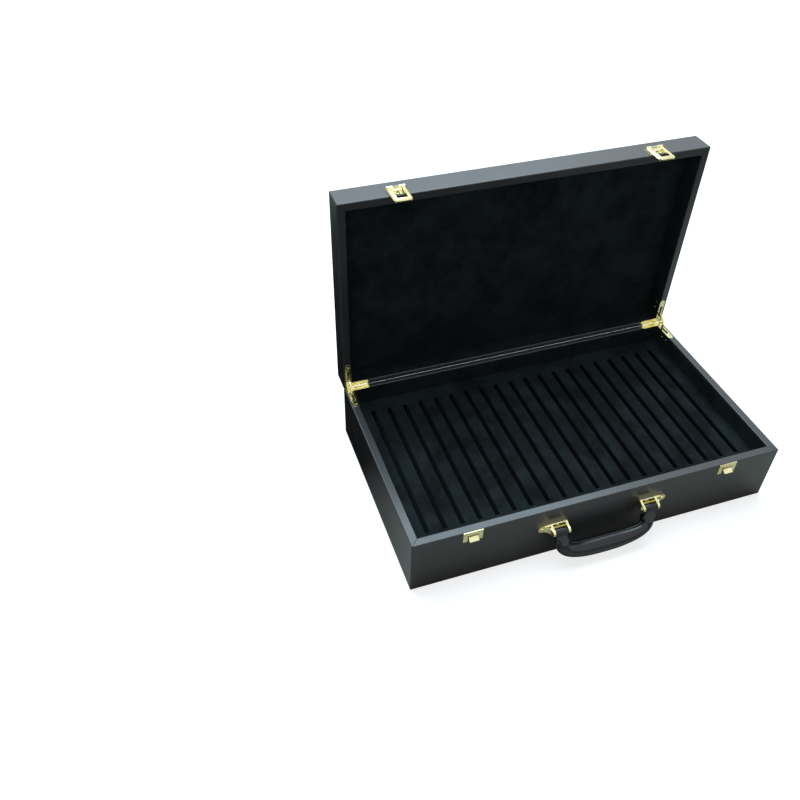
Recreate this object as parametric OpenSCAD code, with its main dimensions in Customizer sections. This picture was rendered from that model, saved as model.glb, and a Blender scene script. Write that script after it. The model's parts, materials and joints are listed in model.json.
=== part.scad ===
// Sample briefcase: a leatherette-covered wooden case with a slotted insert,
// standing open with its lid against the stop of the hinges.
// Origin: centre of the underside of the base. X runs along the front, Y to the back, Z up.
// The lid is drawn closed, and lid_open() turns it about the hinge line to its rest place.

/* [Case] */
// Width of the case over its covering
case_w = 480; // [420:5:560]
// Depth of the case over its covering
case_d = 275; // [260:5:340]
// Height of the base, underside to rim
base_h = 82; // [80:1:120]
// Height of the lid, rim to outer face
lid_h = 33; // [30:1:60]
// Thickness of a covered wall board
wall_t = 10; // [10:0.5:12]
// Thickness of the base board and the lid board
panel_t = 6; // [4:0.5:8]
// Gap between the two rims of the closed case
rim_gap = 0.4; // [0.3:0.1:0.8]
// Chamfer along the two back edges, whose faces are the lid's stop
back_chamfer = 3.75; // [3:0.25:5]
// Rounding of the outer edges
edge_r = 1.5; // [0.8:0.1:2.5]
// Rounding of the rim edges
rim_r = 1; // [0.5:0.1:1.2]
// Angle of the open lid from closed
open_angle = 90; // [60:1:90]

/* [Lining] */
// Thickness of the velvet lining
lining_t = 1; // [0.6:0.1:1.5]
// Depth of the lining's top edge below the rim
lining_drop = 2; // [1.6:0.1:4]
// Thickness of the velvet pad in the lid
lid_pad_t = 4; // [2:0.5:8]

/* [Slotted insert] */
// Depth of the insert's top below the rim
insert_drop = 25; // [15:1:35]
// Number of slots
slot_count = 20; // [10:1:20]
// Width of a slot
slot_w = 5.6; // [4.5:0.1:8]
// Thickness of the insert below the slots
slot_floor_t = 6; // [4:0.5:20]
// Width of the insert beside the first and the last slot
side_land = 17.2; // [12:0.1:30]
// Width of the insert in front of the slots
front_land = 20.7; // [15:0.1:40]
// Width of the insert behind the slots
back_land = 20.5; // [15:0.5:40]
// Rounding of the top edges of a rib
rib_r = 1.5; // [0.5:0.1:2.5]

/* [Hinges] */
// Thickness of a hinge leaf
leaf_t = 1.5; // [1:0.1:2]
// Length of the leaf along the back rim
leaf_back_l = 31.5; // [30:0.5:50]
// Reach of the leaf's arm from the hinge line
leaf_arm_l = 38.5; // [36:0.5:50]
// Width of the leaf's arm
leaf_arm_w = 7.5; // [7.5:0.1:7.7]
// Width of the leaf along the back rim, in front of the hinge line
leaf_back_w = 7.25; // [6.6:0.05:7.25]
// Inset of the leaf from the outside of the case
leaf_inset = 2.5; // [2.3:0.1:2.6]
// Width of the slot in the arm
leaf_slot_w = 3.6; // [3.2:0.1:3.8]
// Start of the slot in the arm, from the hinge line
leaf_slot_from = 10; // [9.6:0.1:11]
// End of the slot in the arm, from the hinge line
leaf_slot_to = 28; // [20:0.5:29]
// Outer radius of the knuckles
knuckle_r = 2.2; // [1.9:0.1:2.2]
// Radius of the hinge pin
hinge_pin_r = 1; // [0.8:0.1:1.2]
// Radius of the quadrant stay at the middle of its width
stay_r = 14.5; // [13.5:0.1:16]
// Radial width of the quadrant stay
stay_w = 3.6; // [3:0.1:4]
// Thickness of the quadrant stay
stay_t = 2; // [1.5:0.1:2.4]
// Turn of the stay's ends past the two rims of the open case
stay_tail = 10; // [9:0.5:14]
// Radius of the stop pins across the stay's ends
stop_pin_r = 0.7; // [0.5:0.1:0.9]
// Length of the stop pins
stop_pin_l = 5.2; // [4.8:0.1:5.6]
// Radius of the tack heads beside the hinge
tack_r = 1.3; // [0.8:0.1:1.8]

/* [Latches] */
// Distance from the middle of a latch to the side of the case
latch_inset = 73; // [50:1:100]
// Width of the latch loop
loop_w = 22.5; // [20:0.5:26]
// Thickness of the latch loop
loop_t = 3; // [2.4:0.1:3.6]
// Reach of the loop past the lid's rim
loop_reach = 17.4; // [15:0.1:20]
// Height of the loop's end bar
loop_bar = 5; // [3:0.1:6]
// Width of the loop's window
window_w = 12.5; // [11:0.1:14]
// Height of the loop's pin above the lid's rim
latch_pin_up = 14; // [13:0.1:20]
// Radius of the latch pin
latch_pin_r = 0.9; // [0.7:0.1:1.1]
// Radius of the loop's knuckles
loop_knuckle_r = 1.9; // [1.7:0.1:2.1]
// Thickness of the latch and catch plates
plate_t = 0.8; // [0.6:0.1:1]
// Width of the catch plate
catch_w = 24; // [23:0.5:28]
// Width of the hook on the catch plate
hook_w = 11.6; // [9:0.1:12]
// Stand-out of the hook from the face of the case
hook_out = 6.3; // [5.5:0.1:8]
// Thickness of the hook
hook_t = 1.2; // [0.8:0.1:1.5]
// Wire of the latch spring
spring_wire = 0.6; // [0.4:0.05:0.7]
// Turns of the latch spring
spring_turns = 5; // [3:1:6]

/* [Handle] */
// Distance of the handle's two ends from the middle
bracket_x = 59.25; // [50:0.25:80]
// Gap between the two ears of a bracket
ear_gap = 16.5; // [14:0.1:20]
// Thickness of an ear
ear_t = 2.8; // [2:0.1:3.5]
// Stand-out of the ears from the face
ear_out = 15; // [14.6:0.1:17]
// Height of the handle's pin above the underside
handle_pin_z = 51; // [46:0.5:60]
// Stand-out of the handle's pin from the face
handle_pin_out = 9.5; // [9.5:0.1:10.5]
// Radius of the handle's pin
handle_pin_r = 1.75; // [1.2:0.05:2]
// Thickness of the bracket's foot
foot_t = 3; // [2:0.1:3.4]
// Height of the bracket's foot
foot_h = 13; // [11:0.5:16]
// Depth of the handle from its pins to the lowest point
handle_drop = 46.9; // [42:0.1:52]
// Radial width of the grip at its middle
grip_w = 25; // [20:0.1:28]
// Thickness of the grip at its middle
grip_t = 14; // [12:0.1:16]
// Draw-in of the grip's outer edge from the outside of the handle's ends
outer_draw = 1; // [0:0.5:4]
// Draw-in of the grip's inner edge from the inside of the handle's ends
inner_draw = 3.3; // [2:0.1:6]
// Angle of the handle from hanging straight down
handle_rest = 18; // [5:1:40]

/* [Hidden] */

$fn = 48;
// Overshoot of a cutting body past the face that it cuts
over = 1;
// Clearance of a screw, rivet or fixed pin in its hole
fixed_fit = 0.05;
// Clearance of a pin in the knuckle or eye that turns on it
pin_fit = 0.05;
// Clearance beside a part that moves
run_gap = 0.3;
// Clearance of a leaf in its mortise
mortise_fit = 0.15;

leatherette = "#3b4146";
velvet = "#141d20";
gold = "#d9c56a";
steel = "#b9b9b4";

// Hinge line and shell heights
hinge_y = case_d / 2 - back_chamfer;
hinge_z = base_h + rim_gap / 2;
lid_rim_z = base_h + rim_gap;
lid_top_z = lid_rim_z + lid_h;
front_y = -case_d / 2;
in_w = case_w - 2 * wall_t;
in_d = case_d - 2 * wall_t;
tray_w = in_w - 2 * lining_t;
tray_d = in_d - 2 * lining_t;
insert_top = base_h - insert_drop;
slot_floor = panel_t + slot_floor_t;
slot_depth = insert_top - slot_floor;
slots_w = tray_w - 2 * side_land;
slot_pitch = (slots_w - slot_w) / (slot_count - 1);
rib_w = slot_pitch - slot_w;
slot_y0 = front_land - tray_d / 2;
slot_y1 = tray_d / 2 - back_land;
slot_l = slot_y1 - slot_y0;

// Head edge of a countersunk screw, above its 45 degree cone
screw_rim = 0.25;

// Hinge places: the arm's centre line, the knuckle run and the screws
arm_x = case_w / 2 - leaf_inset - leaf_arm_w / 2;
leaf_x1 = case_w / 2 - leaf_inset;
leaf_x0 = leaf_x1 - leaf_back_l;
knuckle_inner_end = 1.8;
knuckle_outer_end = 0.8;
knuckle_x0 = leaf_x0 + knuckle_inner_end;
knuckle_x1 = leaf_x1 - knuckle_outer_end;
knuckle_l = (knuckle_x1 - knuckle_x0) / 3;
knuckle_gap = 0.2;
leaf_corner_r = 2;
leaf_screw_r = 1.7;
leaf_screw_l = 8;
arm_screw_y = leaf_arm_l - 5.2;
back_screw_y = leaf_back_w - 2.2;
leaf_screws = [[arm_x, arm_screw_y], [leaf_x0 + 6, back_screw_y], [leaf_x0 + 18, back_screw_y]];
// Tacks of the side lining: distance from the hinge line and depth below the rim
tack_places = [[23.5, 7.5], [33, 7]];
tack_shank_r = 0.5;
tack_shank_l = 3;
tack_head_h = 0.6;
stay_half = open_angle / 2 + stay_tail;
stay_end = atan(stay_w / 2 / stay_r);
stay_spare = 2;
stay_cut_r0 = stay_r - stay_w / 2 - run_gap;
stay_cut_r1 = stay_r + stay_w / 2 + run_gap;
stay_cut_t = stop_pin_l + 2 * run_gap;

// Latch places, drawn on the closed case
latch_x = case_w / 2 - latch_inset;
latch_pin_z = lid_rim_z + latch_pin_up;
latch_pin_out = plate_t + run_gap + loop_knuckle_r;
loop_bottom = lid_rim_z - loop_reach;
loop_lift = 0.4;
loop_out = plate_t + loop_lift;
bar_top = loop_bottom + loop_bar;
hook_clear = 0.5;
hook_root = 4;
hook_bottom = bar_top + hook_clear;
hook_top = base_h - hook_root;
plate_knuckle_gap = 0.3;
plate_knuckle_w = 2;
latch_screw_r = 1.3;
latch_screw_l = 6;

// Handle places
leg_gap = 0.3;
leg_w = ear_gap - 2 * leg_gap;
eye_r = 4.8;
neck_l = 7.5;
handle_pin_y = front_y - handle_pin_out;
inner_ear_x = bracket_x - ear_gap / 2 - ear_t;
outer_ear_x = bracket_x + ear_gap / 2;
foot_drop = 4.5;
foot_z0 = handle_pin_z - foot_drop;
foot_z1 = foot_z0 + foot_h;
tail_r = 4.8;
tail_reach = 9.4;
foot_bar_gap = 0.5;
foot_bar_out = handle_pin_out - eye_r - foot_bar_gap;
foot_bar_w = 2;
pocket_floor = 1.4;
tail_x = outer_ear_x + ear_t + tail_reach;
tail_z = foot_z0 + foot_h / 2;
pin_head_r = 3;
pin_head_t = 1.4;

// Placing helpers
module lid_open() {
    translate([0, hinge_y, hinge_z]) rotate([-open_angle, 0, 0]) translate([0, -hinge_y, -hinge_z])
        children();
}

// Draws a shell's parts, whose rim is at the given height, as parts of the lid
module as_lid() {
    lid_open() translate([0, 0, lid_top_z]) mirror([0, 0, 1]) children();
}

module left_side() {
    mirror([1, 0, 0]) children();
}

// Draws on the front face: X along the case, Y upwards, Z outwards
module on_front() {
    translate([0, front_y, 0]) rotate([90, 0, 0]) children();
}

// Draws a profile in the plane across the case, outwards and up, with its thickness along X
module across(x, t) {
    translate([x - t / 2, front_y, 0]) rotate([90, 0, -90]) mirror([0, 0, 1]) linear_extrude(t)
        children();
}

// Shared shapes
module corner_cut(r) {
    difference() {
        translate([-over, -over]) square([r + over, r + over]);
        translate([r, r]) circle(r);
    }
}

// Cross-section of a wall: outer face at X = 0, rim at Y = h
module wall_profile(h) {
    difference() {
        square([wall_t, h]);
        corner_cut(edge_r);
        translate([0, h]) mirror([0, 1]) corner_cut(rim_r);
        translate([wall_t, h]) mirror([1, 0]) mirror([0, 1]) corner_cut(rim_r);
    }
}

// One mitred wall along X, outer face at Y = 0 and the inside towards +Y
module mitred_wall(len, h) {
    intersection() {
        translate([-len / 2, 0, 0]) rotate([90, 0, 90]) linear_extrude(len) wall_profile(h);
        linear_extrude(h) polygon([[-len / 2, 0], [len / 2, 0], [len / 2 - wall_t, wall_t],
            [-len / 2 + wall_t, wall_t]]);
    }
}

// Rounded upright edges and the chamfer at the back of a shell
module shell_edges(h) {
    for (sx = [-1, 1], sy = [-1, 1])
        scale([sx, sy, 1]) translate([-case_w / 2, -case_d / 2, -over]) linear_extrude(h + 2 * over)
            corner_cut(edge_r);
    translate([-case_w / 2 - over, hinge_y, h]) rotate([90, 0, 90]) linear_extrude(case_w + 2 * over)
        polygon([[-over, over], [back_chamfer + over, -back_chamfer - over], [back_chamfer + over, over]]);
}

// Plan of a hinge leaf: X along the case, Y forwards from the hinge line
module leaf_plan(grow) {
    difference() {
        union() {
            difference() {
                translate([leaf_x0 - grow, knuckle_r + run_gap - grow])
                    square([leaf_back_l + 2 * grow, leaf_back_w - knuckle_r - run_gap + 2 * grow]);
                translate([leaf_x0 - grow, leaf_back_w + grow]) mirror([0, 1])
                    corner_cut(leaf_corner_r + grow);
            }
            translate([leaf_x1 - leaf_arm_w - grow, knuckle_r + run_gap - grow])
                square([leaf_arm_w + 2 * grow, leaf_arm_l - leaf_arm_w / 2 - knuckle_r - run_gap + grow]);
            translate([arm_x, leaf_arm_l - leaf_arm_w / 2]) circle(leaf_arm_w / 2 + grow);
        }
        if (grow == 0) {
            slot_r = leaf_slot_w / 2;
            translate([arm_x - slot_r, leaf_slot_from + slot_r])
                square([leaf_slot_w, leaf_slot_to - leaf_slot_from - leaf_slot_w]);
            for (d = [leaf_slot_from + slot_r, leaf_slot_to - slot_r])
                translate([arm_x, d]) circle(slot_r);
        }
    }
}

// Places a leaf's plan on the rim of a shell, with its thickness downwards
module on_rim(h) {
    translate([0, hinge_y, h]) mirror([0, 0, 1]) mirror([0, 1, 0]) children();
}

// Countersunk screw, or its hole where it has a fit, pointing up from its head
module countersunk(r, l, fit) {
    shank = r / 2;
    rotate_extrude() polygon([[0, 0], [r + fit, 0], [r + fit, screw_rim], [shank + fit, screw_rim + r - shank],
        [shank + fit, l + fit], [0, l + fit]]);
}

// Domed head with its shank below it
module dome_head(r, h, shank, l, fit) {
    dome_r = (r * r + h * h) / (2 * h);
    rotate_extrude() {
        intersection() {
            translate([0, h - dome_r]) circle(dome_r);
            square([r, h]);
        }
        translate([0, -l - fit]) square([shank + fit, l + fit]);
    }
}

module knuckle(i, r) {
    x0 = knuckle_x0 + i * knuckle_l + knuckle_gap / 2;
    translate([x0, 0, 0]) rotate([0, 90, 0]) cylinder(h = knuckle_l - knuckle_gap, r = r);
}

// Ring sector about the hinge line; angles run down from the base's rim towards its floor
module hinge_ring(from, to, r0, r1, t) {
    translate([arm_x, hinge_y, 0]) rotate([0, 90, 0]) rotate([0, 0, from - 90])
        rotate_extrude(angle = to - from) translate([r0, -t / 2]) square([r1 - r0, t]);
}

// Everything that a hinge takes out of the walls of a shell
module hinge_cuts(h) {
    on_rim(h) {
        translate([0, 0, -over]) linear_extrude(leaf_t + over) {
            leaf_plan(mortise_fit);
            translate([knuckle_x0 - run_gap, 0])
                square([knuckle_x1 - knuckle_x0 + 2 * run_gap, knuckle_r + 2 * run_gap]);
        }
        for (p = leaf_screws) translate([p[0], p[1], 0]) countersunk(leaf_screw_r, leaf_screw_l, fixed_fit);
    }
    translate([knuckle_x0 - run_gap, hinge_y, h + rim_gap / 2]) rotate([0, 90, 0])
        cylinder(h = knuckle_x1 - knuckle_x0 + 2 * run_gap, r = knuckle_r + run_gap);
    translate([0, 0, h + rim_gap / 2])
        hinge_ring(-stay_spare, stay_half + stay_end + stay_spare, stay_cut_r0, stay_cut_r1, stay_cut_t);
    for (p = tack_places) tack_at(p, h) dome_head(tack_r, tack_head_h, tack_shank_r, tack_shank_l, fixed_fit);
}

// Puts a tack's head on the lining of the right wall
module tack_at(p, h) {
    translate([tray_w / 2, hinge_y - p[0], h - p[1]]) rotate([0, -90, 0]) children();
}

module hinge_leaf(h, knuckles) {
    color(gold) difference() {
        union() {
            on_rim(h) linear_extrude(leaf_t) leaf_plan(0);
            translate([0, hinge_y, h + rim_gap / 2]) for (i = knuckles) {
                knuckle(i, knuckle_r);
                translate([knuckle_x0 + i * knuckle_l + knuckle_gap / 2, -knuckle_r - run_gap - over,
                    -rim_gap / 2 - leaf_t])
                    cube([knuckle_l - knuckle_gap, knuckle_r + run_gap + over, leaf_t]);
            }
        }
        translate([knuckle_x0 - over, hinge_y, h + rim_gap / 2]) rotate([0, 90, 0])
            cylinder(h = knuckle_x1 - knuckle_x0 + 2 * over, r = hinge_pin_r + pin_fit);
        on_rim(h) for (p = leaf_screws)
            translate([p[0], p[1], 0]) countersunk(leaf_screw_r, leaf_screw_l, fixed_fit);
    }
}

module hinge_screw_set(h) {
    color(gold) for (s = [0, 1]) mirror([s, 0, 0]) on_rim(h) for (p = leaf_screws)
        translate([p[0], p[1], 0]) countersunk(leaf_screw_r, leaf_screw_l, 0);
}

module tack_set(h) {
    color(gold) for (s = [0, 1]) mirror([s, 0, 0]) for (p = tack_places)
        tack_at(p, h) dome_head(tack_r, tack_head_h, tack_shank_r, tack_shank_l, 0);
}

module hinge_pin() {
    color(gold) translate([knuckle_x0, hinge_y, hinge_z]) rotate([0, 90, 0])
        cylinder(h = knuckle_x1 - knuckle_x0, r = hinge_pin_r);
}

// Quadrant stay, halfway between the two rims at every angle of the lid
module stay() {
    mid = -open_angle / 2;
    color(gold) translate([0, 0, hinge_z]) {
        hinge_ring(mid - stay_half, mid + stay_half, stay_r - stay_w / 2, stay_r + stay_w / 2, stay_t);
        for (a = [mid - stay_half, mid + stay_half]) translate([arm_x, hinge_y, 0]) rotate([a, 0, 0])
            translate([0, -stay_r, 0]) rotate([0, 90, 0]) {
                cylinder(h = stay_t, r = stay_w / 2, center = true);
                cylinder(h = stop_pin_l, r = stop_pin_r, center = true);
            }
    }
}

// Walls of a shell
module side_wall(h) {
    difference() {
        translate([case_w / 2, 0, 0]) rotate([0, 0, 90]) mitred_wall(case_d, h);
        shell_edges(h);
        hinge_cuts(h);
    }
}

module back_wall(h) {
    difference() {
        translate([0, case_d / 2, 0]) rotate([0, 0, 180]) mitred_wall(case_w, h);
        shell_edges(h);
        hinge_cuts(h);
        left_side() hinge_cuts(h);
    }
}

module front_wall(h) {
    difference() {
        translate([0, front_y, 0]) mitred_wall(case_w, h);
        shell_edges(h);
    }
}

module long_lining(h, z0) {
    color(velvet) translate([-in_w / 2, -in_d / 2, z0]) cube([in_w, lining_t, h - lining_drop - z0]);
}

module side_lining(h, z0) {
    color(velvet) difference() {
        translate([tray_w / 2, -tray_d / 2, z0]) cube([lining_t, tray_d, h - lining_drop - z0]);
        for (p = tack_places) tack_at(p, h) cylinder(h = 4 * lining_t, r = tack_shank_r + fixed_fit, center = true);
    }
}

// Base
module front_fixings() {
    for (s = [-1, 1]) {
        for (p = catch_screw_places) on_front() translate([s * latch_x + p[0], p[1], plate_t])
            mirror([0, 0, 1]) countersunk(latch_screw_r, latch_screw_l, fixed_fit);
        scale([s, 1, 1]) bracket_screw_places()
            dome_head(bracket_screw_r, bracket_head_h, bracket_shank_r, bracket_screw_l, fixed_fit);
    }
}

module base_front_wall() {
    color(leatherette) difference() {
        front_wall(base_h);
        front_fixings();
    }
}

module base_back_wall() {
    color(leatherette) back_wall(base_h);
}

module base_right_wall() {
    color(leatherette) side_wall(base_h);
}

module base_left_wall() {
    left_side() base_right_wall();
}

module base_bottom_board() {
    color(leatherette) translate([-in_w / 2, -in_d / 2, 0]) cube([in_w, in_d, panel_t]);
}

module insert_floor() {
    color(velvet) translate([-tray_w / 2, -tray_d / 2, panel_t])
        cube([tray_w, tray_d, slot_floor - panel_t]);
}

module insert_ribs() {
    color(velvet) for (i = [1 : slot_count - 1])
        translate([(i - slot_count / 2) * slot_pitch - rib_w / 2, slot_y0, slot_floor])
            translate([0, slot_l, 0]) rotate([90, 0, 0]) linear_extrude(slot_l) difference() {
                square([rib_w, slot_depth]);
                translate([0, slot_depth]) mirror([0, 1]) corner_cut(rib_r);
                translate([rib_w, slot_depth]) mirror([1, 0]) mirror([0, 1]) corner_cut(rib_r);
            }
}

module insert_front_land() {
    color(velvet) translate([-tray_w / 2, -tray_d / 2, slot_floor])
        cube([tray_w, slot_y0 + tray_d / 2, slot_depth]);
}

module insert_back_land() {
    color(velvet) translate([-tray_w / 2, slot_y1, slot_floor])
        cube([tray_w, tray_d / 2 - slot_y1, slot_depth]);
}

module insert_right_land() {
    color(velvet) translate([slots_w / 2, slot_y0, slot_floor])
        cube([tray_w / 2 - slots_w / 2, slot_l, slot_depth]);
}

module insert_left_land() {
    left_side() insert_right_land();
}

module base_front_lining() {
    long_lining(base_h, panel_t);
}

module base_back_lining() {
    mirror([0, 1, 0]) long_lining(base_h, panel_t);
}

module base_right_lining() {
    side_lining(base_h, panel_t);
}

module base_left_lining() {
    left_side() base_right_lining();
}

module base_hinge_leaf_right() {
    hinge_leaf(base_h, [0, 2]);
}

module base_hinge_leaf_left() {
    left_side() base_hinge_leaf_right();
}

module hinge_pin_right() {
    hinge_pin();
}

module hinge_pin_left() {
    left_side() hinge_pin();
}

module base_hinge_screws() {
    hinge_screw_set(base_h);
}

module base_hinge_tacks() {
    tack_set(base_h);
}

// Catch plates: a thin plate with a hook bent out of it between two slits
catch_margin = 1;
catch_rim_gap = 0.4;
catch_bottom = loop_bottom + catch_margin;
catch_top = base_h - catch_rim_gap;
catch_screw_x = hook_w / 2 + 3.1;
catch_screw_z = base_h - 6;
catch_screw_places = [[-catch_screw_x, catch_screw_z], [catch_screw_x, catch_screw_z]];
slit_w = 0.8;
hook_join = 2;
hook_rise = hook_out - plate_t;
hook_fall = hook_top - hook_bottom;
hook_angle = 2 * atan(hook_rise / hook_fall);
hook_bend_r = hook_fall / sin(hook_angle);

module hook_profile() {
    intersection() {
        translate([plate_t + hook_bend_r, hook_top]) difference() {
            circle(hook_bend_r + hook_t);
            circle(hook_bend_r);
        }
        translate([0, hook_bottom]) square([hook_out, hook_fall]);
    }
}

module catch_plate(x) {
    color(gold) difference() {
        union() {
            difference() {
                on_front() translate([x - catch_w / 2, catch_bottom, 0])
                    linear_extrude(plate_t) square([catch_w, catch_top - catch_bottom]);
                on_front() translate([x - hook_w / 2 - slit_w, catch_bottom - over, -over])
                    linear_extrude(plate_t + 2 * over)
                    square([hook_w + 2 * slit_w, hook_top - hook_join - catch_bottom + over]);
            }
            across(x, hook_w) hook_profile();
        }
        for (p = catch_screw_places) on_front() translate([x + p[0], p[1], plate_t])
            mirror([0, 0, 1]) countersunk(latch_screw_r, latch_screw_l, fixed_fit);
    }
}

module catch_plate_left() {
    catch_plate(-latch_x);
}

module catch_plate_right() {
    catch_plate(latch_x);
}

module catch_screws() {
    color(gold) for (s = [-1, 1], p = catch_screw_places)
        on_front() translate([s * latch_x + p[0], p[1], plate_t]) mirror([0, 0, 1])
            countersunk(latch_screw_r, latch_screw_l, 0);
}

// Handle brackets: a foot with a rounded tail, two ears that hold the pin, and two bars that shut the
// pocket between them
bracket_screw_r = 2.2;
bracket_head_h = 1.2;
bracket_shank_r = 1.1;
bracket_screw_l = 9;
ear_tip_r = 4.7;
ear_tip_z = handle_pin_z + 0.5;
ear_shoulder = 0.8;
flare_r = 11;
flare_w = 7;
flare_h = 8.6;

module bracket_screw_places() {
    for (p = [[bracket_x, pocket_floor], [tail_x, foot_t]])
        on_front() translate([p[0], tail_z, p[1]]) children();
}

// Side view of an ear, whose straight edges end just inside its round tip
module ear_profile() {
    tip_out = ear_out - ear_tip_r;
    half = ear_tip_r - 0.1;
    polygon([[0, foot_z0], [tip_out, ear_tip_z - half], [tip_out, ear_tip_z + half],
        [foot_t, foot_z1 - ear_shoulder], [0, foot_z1]]);
    translate([tip_out, ear_tip_z]) circle(ear_tip_r);
}

module handle_bracket_right() {
    color(gold) difference() {
        union() {
            on_front() linear_extrude(foot_t) {
                translate([inner_ear_x, foot_z0]) square([outer_ear_x + ear_t - inner_ear_x, foot_h]);
                polygon([[outer_ear_x + ear_t, foot_z0], [tail_x, tail_z - tail_r],
                    [tail_x, tail_z + tail_r], [outer_ear_x + ear_t, foot_z1]]);
                translate([tail_x, tail_z]) circle(tail_r);
            }
            across(inner_ear_x + ear_t / 2, ear_t) ear_profile();
            across(outer_ear_x + ear_t / 2, ear_t) ear_profile();
            for (z = [foot_z0, foot_z1 - foot_bar_w]) across(bracket_x, ear_gap) {
                translate([0, z]) square([foot_bar_out - foot_bar_w / 2, foot_bar_w]);
                translate([foot_bar_out - foot_bar_w / 2, z + foot_bar_w / 2]) circle(foot_bar_w / 2);
            }
            intersection() {
                translate([outer_ear_x + ear_t, front_y - foot_t, tail_z - flare_h / 2])
                    linear_extrude(flare_h) difference() {
                        translate([-over, -flare_r]) square([flare_w + over, flare_r + over]);
                        translate([flare_r, -flare_r]) circle(flare_r);
                    }
                across(outer_ear_x + ear_t, 2 * (flare_w + over)) ear_profile();
            }
        }
        on_front() translate([bracket_x - ear_gap / 2, foot_z0 + foot_bar_w, pocket_floor])
            cube([ear_gap, foot_h - 2 * foot_bar_w, foot_t]);
        translate([inner_ear_x - over, handle_pin_y, handle_pin_z]) rotate([0, 90, 0])
            cylinder(h = ear_gap + 2 * ear_t + over, r = handle_pin_r + fixed_fit);
        bracket_screw_places()
            dome_head(bracket_screw_r, bracket_head_h, bracket_shank_r, bracket_screw_l, fixed_fit);
    }
}

module handle_bracket_left() {
    left_side() handle_bracket_right();
}

module bracket_screws() {
    color(gold) for (s = [0, 1]) mirror([s, 0, 0]) bracket_screw_places()
        dome_head(bracket_screw_r, bracket_head_h, bracket_shank_r, bracket_screw_l, 0);
}

module handle_pin_right() {
    color(gold) translate([inner_ear_x, handle_pin_y, handle_pin_z]) rotate([0, 90, 0]) {
        cylinder(h = ear_gap + 2 * ear_t, r = handle_pin_r);
        mirror([0, 0, 1]) dome_head(pin_head_r, pin_head_t, handle_pin_r, over, 0);
    }
}

module handle_pin_left() {
    left_side() handle_pin_right();
}

module stay_right() {
    stay();
}

module stay_left() {
    left_side() stay();
}

// Handle: drawn hanging from the pins' axis, then turned out to its rest angle
module handle_place() {
    translate([0, handle_pin_y, handle_pin_z]) rotate([-handle_rest, 0, 0]) children();
}

// The grip's two edges are halves of rounded rectangles that start below the pins
rail_top = 12;
outer_a = bracket_x + leg_w / 2 - outer_draw;
outer_b = handle_drop - rail_top;
outer_n = 2.6;
inner_a = bracket_x - leg_w / 2 - inner_draw;
inner_b = handle_drop - grip_w - rail_top;
inner_n = 4;
grip_step = 5;
leg_t = 2 * eye_r;

function signed_pow(v, p) = sign(v) * pow(abs(v), p);
function rail(a, b, n, t) = [a * signed_pow(sin(t), 2 / n), -rail_top - b * signed_pow(cos(t), 2 / n)];

// Each leg starts at its end's full width and is drawn in to the edges by these shares at these depths
leg_depths = [neck_l, 9, 10.5];
leg_blend = [0, 0.15, 0.6];
function leg_point(side, a, i) =
    [side * ((a > bracket_x ? bracket_x + leg_w / 2 : bracket_x - leg_w / 2) * (1 - leg_blend[i])
        + a * leg_blend[i]), -leg_depths[i]];
turns = [for (t = [-90 : grip_step : 90]) t];
outer_rail = concat([for (i = [0 : 2]) leg_point(-1, outer_a, i)],
    [for (t = turns) rail(outer_a, outer_b, outer_n, t)],
    [for (i = [2 : -1 : 0]) leg_point(1, outer_a, i)]);
inner_rail = concat([for (i = [0 : 2]) leg_point(-1, inner_a, i)],
    [for (t = turns) rail(inner_a, inner_b, inner_n, t)],
    [for (i = [2 : -1 : 0]) leg_point(1, inner_a, i)]);
stations = len(outer_rail);
function depth_of(i) = -(outer_rail[i][1] + inner_rail[i][1]) / 2;
swell_l = 8;
function thick_of(i) = leg_t + (grip_t - leg_t) * min(1, max(0, (depth_of(i) - neck_l) / swell_l));

// Crowned cross-section of the padded grip, wide across the rails and round at both edges
ring_points = 20;
crown = 2.5;
function grip_ring(i) =
    let (mid = (outer_rail[i] + inner_rail[i]) / 2, half = (outer_rail[i] - inner_rail[i]) / 2,
        t = thick_of(i) / 2)
    [for (k = [0 : ring_points - 1])
        let (a = 360 * k / ring_points, u = signed_pow(cos(a), 2 / crown), w = signed_pow(sin(a), 2 / crown))
        [mid[0] + half[0] * u, t * w, mid[1] + half[1] * u]];

module grip_form() {
    pts = [for (i = [0 : stations - 1]) each grip_ring(i)];
    n = ring_points;
    sides = [for (i = [0 : stations - 2], k = [0 : n - 1])
        let (a = i * n + k, b = i * n + (k + 1) % n) each [[a, b, b + n], [a, b + n, a + n]]];
    ends = concat([for (k = [1 : n - 2]) [0, k + 1, k]],
        [for (k = [1 : n - 2]) let (e = (stations - 1) * n) [e, e + k, e + k + 1]]);
    polyhedron(points = pts, faces = concat(sides, ends), convexity = 6);
}

core_w = 7;
core_t = 3;
core_fit = 0.1;

module core_form(grow) {
    edge = core_w / 2 + grow;
    mids = [for (i = [0 : stations - 1]) (outer_rail[i] + inner_rail[i]) / 2];
    dirs = [for (i = [0 : stations - 1])
        (outer_rail[i] - inner_rail[i]) / norm(outer_rail[i] - inner_rail[i])];
    rotate([90, 0, 0]) translate([0, 0, -core_t / 2 - grow]) linear_extrude(core_t + 2 * grow)
        polygon(concat([for (i = [0 : stations - 1]) mids[i] + dirs[i] * edge],
            [for (i = [stations - 1 : -1 : 0]) mids[i] - dirs[i] * edge]));
}

module handle_core() {
    color(steel) handle_place() core_form(0);
}

module handle_grip() {
    color(leatherette) handle_place() difference() {
        grip_form();
        core_form(core_fit);
    }
}

module handle_end_right() {
    color(leatherette) handle_place() difference() {
        union() {
            translate([bracket_x, 0, 0]) rotate([0, 90, 0]) cylinder(h = leg_w, r = eye_r, center = true);
            translate([bracket_x - leg_w / 2, -eye_r, -neck_l]) cube([leg_w, 2 * eye_r, neck_l]);
        }
        translate([bracket_x, 0, 0]) rotate([0, 90, 0])
            cylinder(h = leg_w + 2 * over, r = handle_pin_r + pin_fit, center = true);
    }
}

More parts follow.
